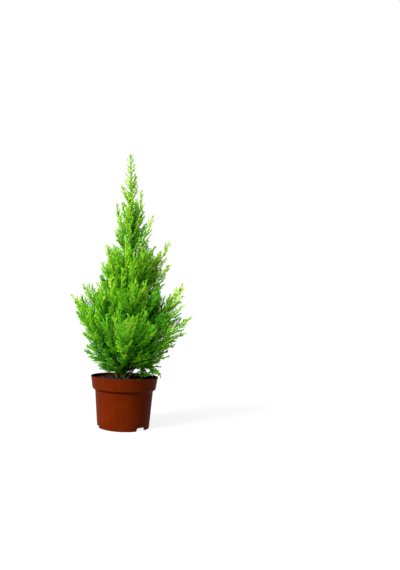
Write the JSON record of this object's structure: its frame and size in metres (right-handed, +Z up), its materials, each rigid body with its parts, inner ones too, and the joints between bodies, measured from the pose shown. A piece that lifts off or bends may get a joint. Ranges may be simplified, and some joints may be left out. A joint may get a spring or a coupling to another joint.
{
  "type": "potted lemon cypress",
  "caption": "Slim conical lemon cypress with feathery yellow-green shoots, growing in compost in a round terracotta-coloured plastic nursery pot.",
  "frame": {"origin": "middle of the pot's underside, on the surface that the pot stands on", "axes": "+Z up along the pot's axis, towards the leader's tip; -Y towards the front; +X to the right"},
  "size_m": [0.2146, 0.216, 0.4865],
  "materials": {
    "pot": "satin moulded plastic",
    "compost": "moist and crumbly",
    "bark": "thin rough bark",
    "low_foliage": "soft scaly shoots",
    "mid_foliage": "soft scaly shoots",
    "top_foliage": "soft scaly shoots"
  },
  "bodies": {
    "root": {"compost": "compost", "leader_foliage": "top_foliage", "left_stem": "bark", "lower_bough_2": "bark", "lower_bough_3": "bark", "lower_bough_5": "bark", "lower_bough_6": "bark", "lower_foliage_1": "low_foliage", "lower_foliage_2": "low_foliage", "lower_foliage_3": "low_foliage", "lower_foliage_4": "low_foliage", "lower_foliage_5": "low_foliage", "lower_foliage_6": "low_foliage", "middle_bough_1": "bark", "middle_bough_2": "bark", "middle_bough_3": "bark", "middle_bough_4": "bark", "middle_bough_5": "bark", "middle_foliage_1": "mid_foliage", "middle_foliage_2": "mid_foliage", "middle_foliage_3": "mid_foliage", "middle_foliage_4": "mid_foliage", "middle_foliage_5": "mid_foliage", "pot": "pot", "right_stem": "bark", "skirt_foliage_1": "low_foliage", "skirt_foliage_2": "low_foliage", "skirt_foliage_3": "low_foliage", "skirt_foliage_4": "low_foliage", "skirt_foliage_5": "low_foliage", "top_foliage_1": "top_foliage", "top_foliage_2": "top_foliage", "top_foliage_3": "top_foliage", "top_foliage_4": "top_foliage", "trunk": "bark", "upper_foliage_1": "mid_foliage", "upper_foliage_2": "mid_foliage", "upper_foliage_3": "mid_foliage", "upper_foliage_4": "mid_foliage", "upper_foliage_5": "mid_foliage"}
  },
  "joints": []
}
